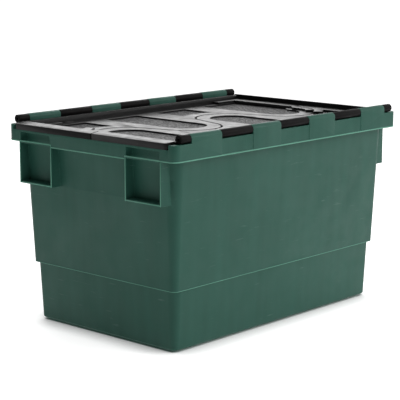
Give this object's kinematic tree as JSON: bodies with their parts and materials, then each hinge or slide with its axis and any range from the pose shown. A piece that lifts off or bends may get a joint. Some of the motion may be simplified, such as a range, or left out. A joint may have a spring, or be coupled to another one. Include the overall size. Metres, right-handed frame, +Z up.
{
  "type": "attached lid tote",
  "caption": "Rectangular tapered plastic tote with a stepped wall, stacking blocks at its ends and a pair of hinged lids whose wavy edges interlock.",
  "frame": {"origin": "centre of the footprint, at the level the tote stands on", "axes": "+X along the tote's length, +Y across it towards the back lid's hinge, +Z up"},
  "size_m": [0.6, 0.4, 0.365],
  "materials": {
    "tub_plastic": "green moulded polypropylene, satin with a fine grain",
    "lid_plastic": "black moulded polypropylene, satin bands and pebbled panels",
    "rod_steel": "bright drawn steel rod"
  },
  "bodies": {
    "tub": {"tub": "tub_plastic", "hinge_rod_back": "rod_steel", "hinge_rod_front": "rod_steel"},
    "lid_back": {"lid_back": "lid_plastic"},
    "lid_front": {"lid_front": "lid_plastic"}
  },
  "joints": [
    {"name": "lid_back_hinge", "type": "hinge", "parent": "tub", "child": "lid_back", "pos_m": [0, 0.1926, 0.3576], "axis": [-1, 0, 0], "range_deg": [0, 238]},
    {"name": "lid_front_hinge", "type": "hinge", "parent": "tub", "child": "lid_front", "pos_m": [0, -0.1926, 0.3576], "axis": [1, 0, 0], "range_deg": [0, 238]}
  ]
}
